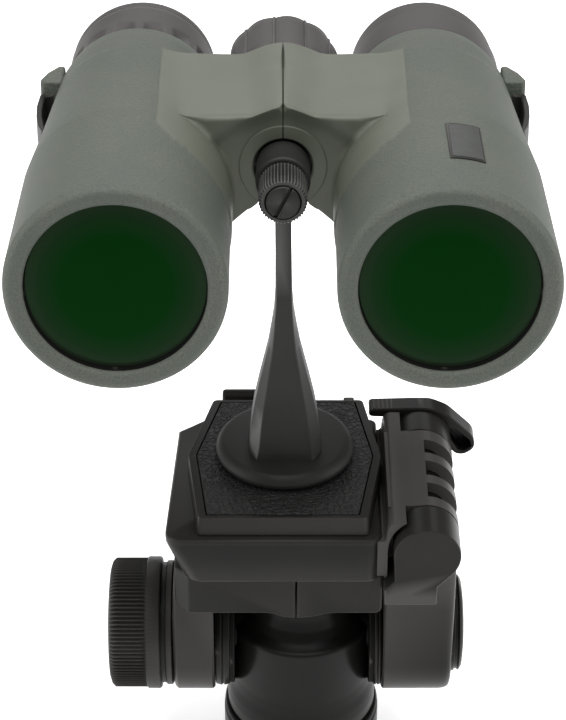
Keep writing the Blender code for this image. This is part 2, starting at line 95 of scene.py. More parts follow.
def textured(tree, kind, scale, **settings):
    """A texture over the piece's own coordinates, scale in cells per metre."""
    place = node(tree, "ShaderNodeTexCoord")
    made = node(tree, kind, **settings)
    made.inputs["Scale"].default_value = scale
    tree.links.new(place.outputs["Object"], made.inputs["Vector"])
    return made


def noise(tree, scale, detail=3.0, roughness=0.5):
    made = textured(tree, "ShaderNodeTexNoise", scale)
    made.inputs["Detail"].default_value = detail
    made.inputs["Roughness"].default_value = roughness
    return made.outputs["Fac"]


def cells(tree, scale, feature):
    return textured(tree, "ShaderNodeTexVoronoi", scale, feature=feature).outputs["Distance"]


def ramp(tree, source, stops):
    """A colour ramp with (position, colour) stops."""
    made = node(tree, "ShaderNodeValToRGB")
    elements = made.color_ramp.elements
    while len(elements) < len(stops):
        elements.new(0.5)
    for element, (position, colour) in zip(elements, stops):
        element.position = position
        element.color = (*colour, 1.0)
    tree.links.new(source, made.inputs["Fac"])
    return made.outputs["Color"]


def shade(tree, source, dark, light):
    return ramp(tree, source, [(0.3, dark), (0.7, light)])


def mixed(tree, factor, first, second):
    """Mix two colours, or two colour outputs, by a factor output."""
    made = node(tree, "ShaderNodeMix", data_type="RGBA")
    tree.links.new(factor, made.inputs["Factor"])
    for socket, value in (("A", first), ("B", second)):
        target = [item for item in made.inputs if item.name == socket and item.type == "RGBA"][0]
        if isinstance(value, tuple):
            target.default_value = (*value, 1.0)
        else:
            tree.links.new(value, target)
    return [item for item in made.outputs if item.type == "RGBA"][0]


def bumped(tree, height, strength, distance, normal=None):
    made = node(tree, "ShaderNodeBump")
    made.inputs["Strength"].default_value = strength
    made.inputs["Distance"].default_value = distance
    tree.links.new(height, made.inputs["Height"])
    if normal is not None:
        tree.links.new(normal, made.inputs["Normal"])
    return made.outputs["Normal"]


def scaled_range(tree, source, low, high):
    made = node(tree, "ShaderNodeMapRange")
    made.inputs["To Min"].default_value = low
    made.inputs["To Max"].default_value = high
    tree.links.new(source, made.inputs["Value"])
    return made.outputs["Result"]


def edge_wear_and_highlight(tree, colour, edge_colour):
    """Lighten a colour output where the mesh turns a convex edge: partly edge wear, partly a
    painted highlight along the edges.
    """
    geometry = node(tree, "ShaderNodeNewGeometry")
    edge = ramp(tree, geometry.outputs["Pointiness"], [(0.52, (0, 0, 0)), (0.60, (1, 1, 1))])
    return mixed(tree, edge, colour, edge_colour)


def blank(name, roughness=0.5, metallic=0.0, specular=0.5):
    made = bpy.data.materials.new(name)
    made.use_nodes = True
    shader = made.node_tree.nodes["Principled BSDF"]
    shader.inputs["Roughness"].default_value = roughness
    shader.inputs["Metallic"].default_value = metallic
    shader.inputs["Specular IOR Level"].default_value = specular
    return made, made.node_tree, shader


def drive(tree, shader, **outputs):
    """Feed node outputs into the shader."""
    sockets = {"colour": "Base Color", "roughness": "Roughness", "normal": "Normal"}
    for name, output in outputs.items():
        tree.links.new(output, shader.inputs[sockets[name]])


# Materials

def armour_rubber():
    """Finely pebbled green rubber, with a smooth and lighter panel where it is marked."""
    made, tree, shader = blank("pebbled_green_rubber", specular=0.3)
    panel = node(tree, "ShaderNodeAttribute", attribute_name="panel").outputs["Fac"]
    cloud = noise(tree, 60, 4)
    tone = ramp(tree, cloud, [(0.35, (0.050, 0.058, 0.048)), (0.65, (0.060, 0.067, 0.055))])
    grain = ramp(tree, noise(tree, 2600, 2), [(0.38, (0.036, 0.044, 0.035)),
                                              (0.60, (0.076, 0.082, 0.068))])
    smooth = shade(tree, cloud, (0.068, 0.074, 0.056), (0.077, 0.083, 0.064))
    depth = node(tree, "ShaderNodeMath", operation="MULTIPLY")
    tree.links.new(cells(tree, 1500, "SMOOTH_F1"), depth.inputs[0])
    tree.links.new(scaled_range(tree, panel, 1.0, 0.06), depth.inputs[1])
    drive(tree, shader, colour=mixed(tree, panel, mixed(tree, cloud, tone, grain), smooth),
          roughness=scaled_range(tree, panel, 0.62, 0.50),
          normal=bumped(tree, depth.outputs[0], 0.6, 0.0002))
    return made


def grip_rubber():
    """Warm grey rubber of the eyepiece rings and the focus wheel."""
    made, tree, shader = blank("warm_grey_rubber", specular=0.35)
    cloud = noise(tree, 90, 4)
    colour = shade(tree, cloud, (0.030, 0.027, 0.0265), (0.041, 0.037, 0.036))
    # The paler edges are partly wear and partly a painted highlight.
    drive(tree, shader, colour=edge_wear_and_highlight(tree, colour, (0.10, 0.09, 0.088)),
          roughness=scaled_range(tree, cloud, 0.5, 0.66),
          normal=bumped(tree, noise(tree, 3200, 2), 0.25, 0.0001))
    return made


def head_plastic(name="satin_black_plastic", dark=0.007, light=0.010, rough=(0.26, 0.38),
                 grain=0.10):
    """Moulded black plastic with a faint grain and paler edges, partly wear and partly a painted
    highlight.
    """
    made, tree, shader = blank(name, specular=0.08)
    colour = shade(tree, noise(tree, 45, 5, 0.6), (dark, dark * 0.97, dark * 0.93),
                   (light, light * 0.97, light * 0.92))
    # The paler edges are partly wear and partly a painted highlight.
    drive(tree, shader, colour=edge_wear_and_highlight(tree, colour, (0.05, 0.047, 0.044)),
          roughness=scaled_range(tree, noise(tree, 18, 3), *rough),
          normal=bumped(tree, noise(tree, 2400, 3), grain, 0.0001))
    return made


def adapter_paint():
    """Charcoal powder paint on the adapter."""
    made, tree, shader = blank("charcoal_powder_paint", specular=0.16)
    cloud = noise(tree, 70, 4)
    colour = shade(tree, cloud, (0.012, 0.012, 0.0115), (0.018, 0.018, 0.017))
    # The paler edges are partly wear and partly a painted highlight.
    drive(tree, shader, colour=edge_wear_and_highlight(tree, colour, (0.07, 0.07, 0.067)),
          roughness=scaled_range(tree, cloud, 0.42, 0.58),
          normal=bumped(tree, cells(tree, 2600, "SMOOTH_F1"), 0.25, 0.0001))
    return made


def pad_leather():
    """The pad's leather grain: shallow wrinkles between soft cells."""
    made, tree, shader = blank("leather_textured_pad", specular=0.3)
    warp = noise(tree, 500, 4)
    grain = ramp(tree, cells(tree, 620, "DISTANCE_TO_EDGE"),
                 [(0.0, (0, 0, 0)), (0.22, (1, 1, 1))])
    wrinkles = bumped(tree, grain, 0.7, 0.0003)
    drive(tree, shader, colour=mixed(tree, warp, (0.007, 0.007, 0.007), (0.013, 0.013, 0.0125)),
          roughness=scaled_range(tree, warp, 0.42, 0.62),
          normal=bumped(tree, warp, 0.5, 0.0002, wrinkles))
    return made


def coated_glass():
    """Dark glass whose colour paints the green glow seen in the lens, changing with distance from
    the centre; the specular tint stands for the green coating.
    """
    made, tree, shader = blank("green_coated_glass", roughness=0.06, specular=0.06)
    place = node(tree, "ShaderNodeTexCoord")
    flat = node(tree, "ShaderNodeVectorMath", operation="MULTIPLY")
    flat.inputs[1].default_value = (1, 0, 1)
    tree.links.new(place.outputs["Object"], flat.inputs[0])
    reach = node(tree, "ShaderNodeVectorMath", operation="LENGTH")
    tree.links.new(flat.outputs[0], reach.inputs[0])
    # Painted glow: the base colour is a dark green that grows paler and greyer towards the lens's
    # edge.
    # 45 per metre puts the front lens's edge at 0.96 of the ramp.
    fade = ramp(tree, scaled_range(tree, reach.outputs["Value"], 0.0, 45.0),
                [(0.0, (0.0, 0.0105, 0.0)), (0.58, (0.0, 0.0115, 0.0003)),
                 (0.80, (0.004, 0.0125, 0.004)), (0.95, (0.012, 0.018, 0.011))])
    drive(tree, shader, colour=fade)
    shader.inputs["Specular Tint"].default_value = (0.25, 1.0, 0.35, 1.0)
    return made


def turned_steel():
    """Bare turned steel."""
    made, tree, shader = blank("turned_steel", metallic=1.0)
    cloud = noise(tree, 300, 3)
    drive(tree, shader, colour=mixed(tree, cloud, (0.32, 0.32, 0.33), (0.45, 0.45, 0.46)),
          roughness=scaled_range(tree, cloud, 0.25, 0.42))
    return made


def badge_plate():
    """A blank satin plate with a faint brushed grain."""
    made, tree, shader = blank("blank_badge_plate", metallic=0.6)
    cloud = noise(tree, 400, 4)
    drive(tree, shader, colour=mixed(tree, cloud, (0.020, 0.022, 0.020), (0.032, 0.034, 0.031)),
          roughness=scaled_range(tree, cloud, 0.3, 0.5))
    return made


def floor_paint():
    """The pale floor, with a little light of its own."""
    made, tree, shader = blank("pale_studio_floor", roughness=0.9, specular=0.1)
    cloud = noise(tree, 3, 2)
    drive(tree, shader, colour=mixed(tree, cloud, (0.90, 0.90, 0.90), (0.92, 0.92, 0.92)))
    shader.inputs["Emission Color"].default_value = (1.0, 1.0, 1.0, 1.0)
    shader.inputs["Emission Strength"].default_value = 0.5
    return made


SURFACES = {
    "armour": armour_rubber(),
    "grip": grip_rubber(),
    "plastic": head_plastic(),
    "fine_plastic": head_plastic("fine_black_plastic", 0.010, 0.014, (0.36, 0.48), 0.2),
    "cell": head_plastic("black_anodised_metal", 0.005, 0.008, (0.35, 0.45), 0.05),
    # Painted shade: a near-black with almost no reflection, used where the pieces show deep shade:
    # inside the objective hoods over their real black, on the washers beside the friction discs
    # and on the flip hinge pin in the hinge slots.
    "near_black_painted_shade": head_plastic("flat_black_painted_shade", 0.002, 0.003, (0.8, 0.95), 0.3),
    "adapter": adapter_paint(),
    "pad": pad_leather(),
    "glass": coated_glass(),
    "steel": turned_steel(),
    "badge": badge_plate(),
}


# Shape helpers

def on_axis(axis, a, b, station):
    places = {"X": (station, a, b), "Y": (a, station, b), "Z": (a, b, station)}
    return Vector(places[axis]) * MM


def finish_shape(name, shape, smooth_angle=32):
    bmesh.ops.recalc_face_normals(shape, faces=shape.faces)
    mesh = bpy.data.meshes.new(name)
    shape.to_mesh(mesh)
    shape.free()
    mesh.shade_smooth()
    mesh.set_sharp_from_angle(angle=math.radians(smooth_angle))
    made = bpy.data.objects.new(name, mesh)
    bpy.context.scene.collection.objects.link(made)
    return made


def rounded(points, radius, steps=3):
    """Round every corner of a closed outline with a short curve."""
    soft = []
    count = len(points)
    for index, point in enumerate(points):
        here = Vector(point)
        before = Vector(points[index - 1])
        after = Vector(points[(index + 1) % count])
        start = here + (before - here).normalized() * min(radius, (before - here).length * 0.45)
        end = here + (after - here).normalized() * min(radius, (after - here).length * 0.45)
        for step in range(steps + 1):
            t = step / steps
            soft.append(tuple((1 - t) ** 2 * start + 2 * t * (1 - t) * here + t * t * end))
    return soft


def join_rings(shape, ring, following):
    """Faces between two rings of points; a ring may be one point, repeated."""
    for step in range(len(ring)):
        after = (step + 1) % len(ring)
        corners = [ring[step], ring[after], following[after], following[step]]
        corners = list(dict.fromkeys(corners))
        if len(corners) > 2:
            shape.faces.new(corners)


def turned(name, profile, axis="Y", sides=96, corner=0.25, ripple=None, smooth_angle=32):
    """Turn a closed profile of (radius, station) points; ripple may change each radius."""
    shape = bmesh.new()
    rings = []
    line = rounded(profile, corner) if corner else profile
    angles = [2 * math.pi * step / sides for step in range(sides)]
    for radius, station in line:
        if radius < 0.001:
            rings.append([shape.verts.new(on_axis(axis, 0, 0, station))] * sides)
            continue
        ring = []
        for angle in angles:
            reach = ripple(angle, radius, station) if ripple else radius
            ring.append(shape.verts.new(on_axis(axis, reach * math.cos(angle),
                                                reach * math.sin(angle), station)))
        rings.append(ring)
    for ring, following in zip(rings, rings[1:] + rings[:1]):
        join_rings(shape, ring, following)
    return finish_shape(name, shape, smooth_angle)


def lofted(name, rings, axis="Z", smooth_angle=32):
    """Skin a stack of (outline, station) rings that have the same number of points."""
    shape = bmesh.new()
    made = []
    for outline, station in rings:
        made.append([shape.verts.new(on_axis(axis, a, b, station)) for a, b in outline])
    for ring, following in zip(made, made[1:]):
        join_rings(shape, ring, following)
    shape.faces.new(made[0])
    shape.faces.new(made[-1])
    return finish_shape(name, shape, smooth_angle)


def disc(name, radius, start, end, axis="Y", bevel=0.4, sides=72):
    """A solid disc or rod with softened rims."""
    profile = ([(0, start), (radius - bevel, start)]
               + arc((radius - bevel, start + bevel), bevel, -90, 0, 4)
               + arc((radius - bevel, end - bevel), bevel, 0, 90, 4) + [(0, end)])
    return turned(name, profile, axis, sides, corner=0)


def prism(name, outline, start, end, axis="Y", bevel=0.4, segments=3):
    """Extrude a closed outline along an axis and bevel its edges."""
    shape = bmesh.new()
    corners = [shape.verts.new(on_axis(axis, a, b, start)) for a, b in outline]
    face = shape.faces.new(corners)
    grown = bmesh.ops.extrude_face_region(shape, geom=[face])["geom"]
    far_end = [item for item in grown if isinstance(item, bmesh.types.BMVert)]
    bmesh.ops.translate(shape, verts=far_end, vec=on_axis(axis, 0, 0, end - start))
    made = finish_shape(name, shape)
    return soften(made, bevel, segments) if bevel else made


def block(name, x_range, y_range, z_range, bevel=0.4):
    outline = [(x_range[0], y_range[0]), (x_range[1], y_range[0]),
               (x_range[1], y_range[1]), (x_range[0], y_range[1])]
    return prism(name, outline, *z_range, "Z", bevel)


def arc(centre, radius, start, end, steps):
    points = []
    for step in range(steps + 1):
        angle = math.radians(start + (end - start) * step / steps)
        points.append((centre[0] + radius * math.cos(angle),
                       centre[1] + radius * math.sin(angle)))
    return points


def soften(made, width, segments=3, angle=35):
    """Bevel the sharp edges of a piece."""
    change = made.modifiers.new("Bevel", "BEVEL")
    change.width = width * MM
    change.segments = segments
    change.limit_method = "ANGLE"
    change.angle_limit = math.radians(angle)
    change.harden_normals = True
    return made


def combine(target, tool, operation):
    """Join or cut the target with the tool, and remove the tool."""
    change = target.modifiers.new(operation.title(), "BOOLEAN")
    change.operation = operation
    change.solver = "EXACT"
    change.object = tool
    bpy.context.view_layer.objects.active = target
    bpy.ops.object.modifier_apply(modifier=change.name)
    bpy.data.objects.remove(tool)
    target.data.set_sharp_from_angle(angle=math.radians(32))
    return target


def cut(target, tool):
    return combine(target, tool, "DIFFERENCE")


def moved(made, x=0, y=0, z=0):
    made.data.transform(Matrix.Translation(Vector((x, y, z)) * MM))
    return made


def at_tilt(made):
    return moved(made, 0, 0, TILT_Z)


def at_flip(made):
    return moved(made, FLIP_X, 0, FLIP_Z)


def turned_by(made, angle, axis):
    made.data.transform(Matrix.Rotation(math.radians(angle), 4, axis))
    return made


def settle(made, matrix, body, surface, slot, *replaced):
    """Put a piece in its frame, on its body, with its material."""
    made.matrix_world = matrix
    made.data.materials.clear()
    made.data.materials.append(SURFACES[surface])
    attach(made, body)
    if replaced:
        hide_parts(*replaced)
    return made


def on_barrel(made, side, surface, slot, *replaced):
    return settle(made, barrel_frame(side), f"{side}_barrel", surface, slot, *replaced)


def barrel_ring(side, name, profile, surface, slot, *replaced, **shape):
    """Turn a ring or lens about the barrel's axis and put it on that barrel."""
    on_barrel(turned(f"{side}_{name}", profile, **shape), side, surface, slot, *replaced)


def on_binocular(made, body, surface, slot, *replaced):
    return settle(made, BINOCULAR, body, surface, slot, *replaced)


def on_head(made, body, *replaced):
    """Put a piece of the tripod head in place, in its black plastic."""
    return settle(made, WORLD, body, "plastic", "head_plastic", *replaced)


def unit(value):
    """Hold a value between 0 and 1."""
    return max(0.0, min(1.0, value))


def along_line(line, place):
    """Read a line of (place, value) points, flat beyond its ends."""
    if place <= line[0][0]:
        return line[0][1]
    for (start, first), (end, second) in zip(line, line[1:]):
        if place <= end:
            return first + (second - first) * (place - start) / (end - start)
    return line[-1][1]


# The rubber skin of one barrel and its half of the bridge, as one surface

FILLET = 1.6
SEAM_X = 0.15
SOCKET_RADIUS = 10.12
FACE_TOP = 53.4
EDGE_ROUNDING = 2.0
HUMP_HALF_WIDTH = {"front": 9.0, "rear": 12.6}
HUMP_RISE = {"front": 2.4, "rear": 3.5}
FLAT_TOP = {"front": 14.3, "rear": 13.95}
UNDER_LINE = [(6.7, -10.4), (9.5, -12.6), (13.5, -16.2), (17, -21), (24, -26)]
SOCKET_LIP = (5.53, -8.51)
MIDDLE_KNUCKLE = (70, 84)
BARREL_LINE = [(2.2, 26.5), (49, 26.2), (74, 24.4), (98, 23.1), (110, 22.4), (117.6, 21.25)]
PANEL_LINE = [(0, 34.5), (28, 33.2), (48, 34.2), (61, 36.5), (72, 42.5)]
PANEL_REACH = PANEL_LINE[-1][0]


def top_line(end):
    """The arm's top at its front or rear end: flat, with a soft hump over the hinge."""
    flat, rise, half_width = FLAT_TOP[end], HUMP_RISE[end], HUMP_HALF_WIDTH[end]
    line = [(BARREL_X, flat), (20, flat), (14, flat)]
    for step in range(15):
        x = half_width + (SEAM_X - half_width) * step / 14
        line.append((x, flat + rise * (0.5 + 0.5 * math.cos(math.pi * x / half_width))))
    return line


def arm_line(socket, end):
    """The arm's edge from the barrel's top, down the seam, round the socket and back."""
    seam_bottom = math.degrees(math.acos(SEAM_X / socket))
    return top_line(end) + arc((0, 0), socket, seam_bottom, -57, 26) + UNDER_LINE


def barrel_radius(station):
    return along_line(BARREL_LINE, station)


def reach_table(directions, socket, end):
    """For each direction from the barrel's axis, the arm's edge, or 0 where it has none."""
    line = arm_line(socket, end)
    reaches = []
    for angle in directions:
        way = Vector((math.cos(angle), math.sin(angle)))
        best = 0.0
        for first, second in zip(line, line[1:]):
            start = Vector((first[0] - BARREL_X, first[1] - BARREL_Z))
            edge = Vector((second[0] - first[0], second[1] - first[1]))
            facing = way.x * edge.y - way.y * edge.x
            if abs(facing) < 1e-9:
                continue
            distance = (start.x * edge.y - start.y * edge.x) / facing
            share = (start.x * way.y - start.y * way.x) / facing
            if distance > 0 and -1e-6 <= share <= 1 + 1e-6 and (best == 0 or distance < best):
                best = distance
        reaches.append(best)
    return reaches


def spread(start, end, step):
    """Evenly spaced values from start up to, but not including, end."""
    count = max(1, round((end - start) / step))
    return [start + (end - start) * index / count for index in range(count)]


def skin_directions():
    """Angles round the barrel, finer over the bridge and exact at its corners."""
    def toward(x, z):
        return math.degrees(math.atan2(z - BARREL_Z, x - BARREL_X)) % 360

    seam_top = toward(*top_line("rear")[-1])
    half_socket = math.asin(SOCKET_RADIUS / math.hypot(BARREL_X, BARREL_Z))
    graze = toward(0, 0) - math.degrees(half_socket)
    lip = toward(*SOCKET_LIP)
    under = toward(*UNDER_LINE[0])
    degrees = (spread(-90, 96, 3) + spread(96, seam_top, 0.9)
               + spread(seam_top, seam_top + 1.2, 0.15)
               + spread(seam_top + 1.2, graze - 0.02, 1.2) + [graze - 0.02, graze + 0.02]
               + spread(graze + 0.3, lip, 1) + spread(lip, under, 1.2)
               + spread(under, 236, 1.2) + spread(236, 270, 3))
    return [math.radians(value) for value in degrees], math.radians(seam_top)


def smooth_max(first, second, blend):
    return 0.5 * (first + second + math.sqrt((first - second) ** 2 + blend * blend))


def arm_edge(angle, reach, station, seam_top):
    """The section's radius at a station, with the arm flowing into the barrel."""
    base = barrel_radius(station)
    if reach == 0:
        return base
    if angle < seam_top - 0.2:
        return smooth_max(base, reach, 0.5 + 0.14 * max(0.0, min(8.0, station - FACE_TOP)))
    return smooth_max(base, reach, 1.2) - 0.25 * math.exp(-abs(reach - base) / 2)


def panel_front(angle):
    """Where the smooth panel starts along the barrel, by direction."""
    away = abs(180 - math.degrees(angle))
    return along_line(PANEL_LINE, away) if away <= PANEL_REACH else math.inf


def panel_share(angle, radius, station):
    """1 inside the smooth panel, 0 outside it, with a narrow step between."""
    base = barrel_radius(station)
    if radius > base + 1.2:
        return 1.0
    away = abs(180 - math.degrees(angle))
    side = math.radians(PANEL_REACH - away) * base
    inside = min(side, station - panel_front(angle), 99.0 - station)
    return unit(inside / 0.6 + 0.5)


def panel_rise(angle, radius, station, seam_top):
    """How far the panel stands proud: nothing at the seam and round the socket."""
    fade = unit((seam_top - angle) / math.radians(6))
    if angle > math.radians(200):
        fade = unit((angle - math.radians(215)) / math.radians(6))
    if radius < barrel_radius(station) + 1.0:
        fade = 1.0
    return 0.35 * fade * panel_share(angle, radius, station)


def face_station(angle, seam_top):
    """The front face leans back from the top edge to the socket."""
    share = unit((angle - seam_top + 0.12) / 0.22)
    return FACE_TOP + (BRIDGE_FRONT - FACE_TOP) * share * share * (3 - 2 * share)


def front_path(angle, reach, top, chamfer, seam_top):
    """Points up the front of the arm: fillet, face, rounded edge and the start of its top."""
    face = face_station(angle, seam_top)
    base = barrel_radius(face)
    rise = max(0.0, reach - base)
    corner = min(chamfer, rise * 0.5)
    climb = rise - corner
    fillet = min(FILLET, climb)
    rows = []
    for step in range(13):
        bend = math.pi / 2 * step / 12
        rows.append((base + fillet * (1 - math.cos(bend)), face - fillet * (1 - math.sin(bend))))
    for step in range(1, 11):
        rows.append((base + fillet + (climb - fillet) * step / 10, face))
    for step in range(1, 6):
        bend = math.pi / 2 * step / 5
        rows.append((base + climb + corner * math.sin(bend), face + corner * (1 - math.cos(bend))))
    last, station = rows[-1]
    end = BRIDGE_FRONT + 3.2
    for step in range(1, 5):
        rows.append((last + (top - last) * step / 4, station + (end - station) * step / 4))
    return rows


def rear_path(reach):
    """Points down the rear of the arm: a small chamfer, the face and its fillet."""
    base = barrel_radius(BRIDGE_REAR + 2)
    rise = max(0.0, reach - base)
    corner = min(1.0, rise * 0.4)
    fillet = min(3.0, (rise - corner) * 0.9)
    rows = [(base + rise, BRIDGE_REAR - 1.2), (base + rise, BRIDGE_REAR - corner),
            (base + rise - corner, BRIDGE_REAR)]
    for step in range(7):
        bend = math.pi / 2 * step / 6
        rows.append((base + fillet * (1 - math.sin(bend)),
                     BRIDGE_REAR + fillet * (1 - math.cos(bend))))
    return rows


def edge_chamfer(angle, reach, seam_top):
    """The width of the front edge's rounding: wide along the top, none down the seam."""
    if angle <= seam_top + 0.001:
        return EDGE_ROUNDING
    if angle > math.radians(188):
        return 0.9
    height = reach * math.sin(angle) + BARREL_Z
    return max(0.0, EDGE_ROUNDING - (FLAT_TOP["front"] + HUMP_RISE["front"] - height))


def skin_columns(side, directions, seam_top):
    """For each direction, the (radius, station) points from the rim to the eyepiece end."""
    tables = {}
    for end in ("front", "rear"):
        tables[end, "clear"] = reach_table(directions, SOCKET_RADIUS, end)
        tables[end, "closed"] = reach_table(directions, SOCKET_RADIUS - 0.25, end)
    closed_at_ends = side == "left"
    rim = rounded([(21.6, 2.6), (21.6, 0.9), (22.9, 0.0), (25.2, 0.0), (26.5, 1.6),
                   (26.5, 3.4)], 1.1, 4)[4:-4]

    def section(index, station):
        """The arm's radius in one direction: its own knuckles close the gap round the socket."""
        middle = MIDDLE_KNUCKLE[0] < station < MIDDLE_KNUCKLE[1]
        fit = "closed" if middle != closed_at_ends else "clear"
        share = (station - BRIDGE_FRONT) / (BRIDGE_REAR - BRIDGE_FRONT)
        front, rear = tables["front", fit][index], tables["rear", fit][index]
        reach = front + (rear - front) * share
        return arm_edge(directions[index], reach, station, seam_top)

    columns = []
    for index, angle in enumerate(directions):
        column = [(21.6, 2.6)] + rim
        column += [(barrel_radius(station), station)
                   for station in spread(3.6, FACE_TOP - FILLET, 1.0)]
        front = section(index, BRIDGE_FRONT)
        chamfer = edge_chamfer(angle, front, seam_top)
        column += front_path(angle, front, section(index, BRIDGE_FRONT + 3.2), chamfer, seam_top)
        column += [(section(index, station), station)
                   for station in spread(BRIDGE_FRONT + 4.4, BRIDGE_REAR - 2.4, 1.5)]
        column += rear_path(section(index, BRIDGE_REAR))
        column += [(barrel_radius(station), station)
                   for station in spread(BRIDGE_REAR + 4.2, ARMOUR_END - 0.9, 1.6)]
        column += [(21.2, ARMOUR_END - 0.4), (20.8, ARMOUR_END), (19.3, ARMOUR_END)]
        columns.append(column)
    return columns


def skin(side):
    """The armour and bridge half of one side."""
    directions, seam_top = skin_directions()
    shape = bmesh.new()
    marks = shape.verts.layers.float.new("panel")
    grid = []
    for angle, column in zip(directions, skin_columns(side, directions, seam_top)):
        line = []
        for radius, station in column:
            out = radius
            if radius > 22:
                out += panel_rise(angle, radius, station, seam_top)
            across, up = SIDES[side] * out * math.cos(angle), out * math.sin(angle)
            vert = shape.verts.new(Vector((across, station, up)) * MM)
            vert[marks] = panel_share(angle, radius, station)
            line.append(vert)
        grid.append(line)
    for line, following in zip(grid, grid[1:] + grid[:1]):
        for row in range(len(line) - 1):
            shape.faces.new([line[row], line[row + 1], following[row + 1], following[row]])
    bmesh.ops.remove_doubles(shape, verts=shape.verts, dist=0.02 * MM)
    bmesh.ops.dissolve_degenerate(shape, edges=shape.edges, dist=0.01 * MM)
    made = finish_shape(f"{side}_rubber_skin", shape, 38)
    on_barrel(made, side, "armour", "armour_rubber", f"{side}_armour", f"{side}_bridge")
    wall = made.modifiers.new("Wall", "SOLIDIFY")
    wall.thickness = 0.8 * MM
    wall.offset = -1


# Fittings on each barrel

def mark_smooth(made):
    """Mark every point of a piece as smooth rubber."""
    marks = made.data.attributes.new("panel", "FLOAT", "POINT")
    marks.data.foreach_set("value", [1.0] * len(made.data.vertices))


def knuckles():
    """The hinge's knuckles; the front one has a lip round the socket."""
    front, rear = MIDDLE_KNUCKLE
    last, socket, bore = BRIDGE_REAR - 0.2, 10.02, 5.4
    profiles = {
        "front_knuckle": ("left", [(7.4, 57.0), (7.4, 56.0), (7.8, 55.6), (10.8, 55.6),
                                   (11.1, 55.75), (11.1, 55.93), (socket, 55.93),
                                   (socket, front - 0.1), (8.65, front - 0.1), (8.65, 57.0)]),
        "middle_knuckle": ("right", [(bore, front + 0.1), (socket, front + 0.1),
                                     (socket, rear - 0.1), (bore, rear - 0.1)]),
        "rear_knuckle": ("left", [(bore, rear + 0.1), (socket, rear + 0.1), (socket, last),
                                  (bore, last)])}
    for name, (side, profile) in profiles.items():
        made = turned(name, profile, sides=96, corner=0.06)
        if name == "front_knuckle":
            cut(made, block("tool", (-SEAM_X, SEAM_X), (55, 57.5), (0, 12), 0))
        mark_smooth(made)
        on_binocular(made, f"{side}_barrel", "armour", "bridge_rubber")


def strap_fitting(side):
    """The green lug and the black bowed bar that runs forward from it."""
    sign = SIDES[side]
    lug = [(20, 117.3), (22.0, 117.2), (24.6, 112.5), (26.2, 107.2), (25.6, 105.6), (20, 105.6)]
    hump = prism(f"{side}_lug_hump", [(sign * a, b) for a, b in lug], -3.5, 10.5, "Z", 1.3, 4)
    on_barrel(hump, side, "armour", "armour_rubber")
    outer = [(25.4, 109), (26.2, 105), (26.4, 98), (25.9, 91), (24.9, 84.5), (23.6, 80.8)]
    inner = [(22.6, 80.8), (23.4, 85), (24.2, 90), (24.6, 94), (24.7, 99), (24.5, 104.2),
             (22.6, 104.6), (22.6, 109)]
    bar = prism(f"{side}_strap_bar", [(sign * a, b) for a, b in outer + inner], -0.8, 6.8, "Z",
                0.5)
    on_barrel(bar, side, "fine_plastic", "lug_plastic", f"{side}_strap_lug")


def objective(side):
    """The black cell, the liner and the domed front lens inside the rim."""
    cell = [(20.9, 4.9), (22.6, 4.9), (22.6, 15.0), (21.5, 15.0), (21.5, 5.6), (20.9, 5.6)]
    # The cell and the liner are near-black: their real black, darkened further as painted shade
    # inside the hood.
    barrel_ring(side, "front_cell", cell, "near_black_painted_shade", "black_anodised", f"{side}_objective_cell",
                sides=128, corner=0.1)
    liner = [(21.55, 1.5), (22.5, 1.5), (22.5, 5.2), (21.35, 5.2)]
    barrel_ring(side, "hood_liner", liner, "near_black_painted_shade", "black_anodised", sides=128, corner=0.1)
    shares = [step / 16 for step in range(17)]
    front = [(LENS_RADIUS * share, 2.1 + 0.9 * share ** 2) for share in shares]
    rear = [(LENS_RADIUS * share, 12.2 + 0.8 * share ** 2) for share in reversed(shares)]
    # The lens's colour is a painted green glow that changes towards its edge.
    barrel_ring(side, "front_lens", front + rear, "glass", "coated_glass",
                f"{side}_objective_lens", sides=128, corner=0)


def flute(count, depth, start, end):
    """A ripple that scoops a row of dimples into a ring between two stations."""
    def ripple(angle, radius, station):
        if radius < 19 or station > end:
            return radius
        fade = math.sqrt(max(0.0, 1 - ((station - start) / (end - start)) ** 2))
        share = (angle * count / (2 * math.pi)) % 1.0
        scoop = max(0.0, 1 - (abs(2 * share - 1) / 0.72) ** 2)
        return radius - depth * fade * scoop
    return ripple


def eyepiece_ring(side):
    """The left barrel's plain ring or the right one's fluted diopter ring."""
    start = ARMOUR_END + 0.35
    if side == "left":
        profile = [(17.5, start), (20.5, start), (20.9, start + 0.5), (20.95, 131.9),
                   (20.3, 133.0), (17.5, 133.0)]
        barrel_ring(side, "smooth_ring", profile, "grip", "grip_rubber", "left_eyepiece_ring",
                    sides=144, corner=0.5)
    else:
        stations = [(20.4, value) for value in spread(start + 0.8, 136.4, 0.8)]
        profile = [(17.5, start), (19.9, start), (20.3, start + 0.3)] + stations
        profile += [(20.2, 136.8), (19.8, 137.0), (17.5, 137.0)]
        ring = turned("fluted_diopter_ring", profile, sides=FLUTES * 18, corner=0,
                      ripple=flute(FLUTES, 1.75, start, 125.2), smooth_angle=40)
        settle(ring, barrel_frame(side), "diopter_control", "grip", "grip_rubber",
               "diopter_ring")
    band = [(17.4, 116.9), (20.15, 117.2), (20.15, start + 1), (17.4, start + 1)]
    barrel_ring(side, "shadow_band", band, "cell", "black_anodised", corner=0)


def eyecup(side):
    """The rubber twist-up cup."""
    start = 133.3 if side == "left" else 137.3
    profile = [(17.5, start), (20.0, start), (20.2, start + 0.5), (20.2, 140.6), (19.6, 141.8),
               (18.0, 142.0), (16.4, 141.4), (15.8, 139.9), (15.8, start + 2.0),
               (17.5, start + 2.0)]
    cup = turned(f"{side}_rubber_cup", profile, sides=144, corner=0.4)
    settle(cup, barrel_frame(side), f"{side}_eyecup_grip", "grip", "grip_rubber",
           f"{side}_eyecup")


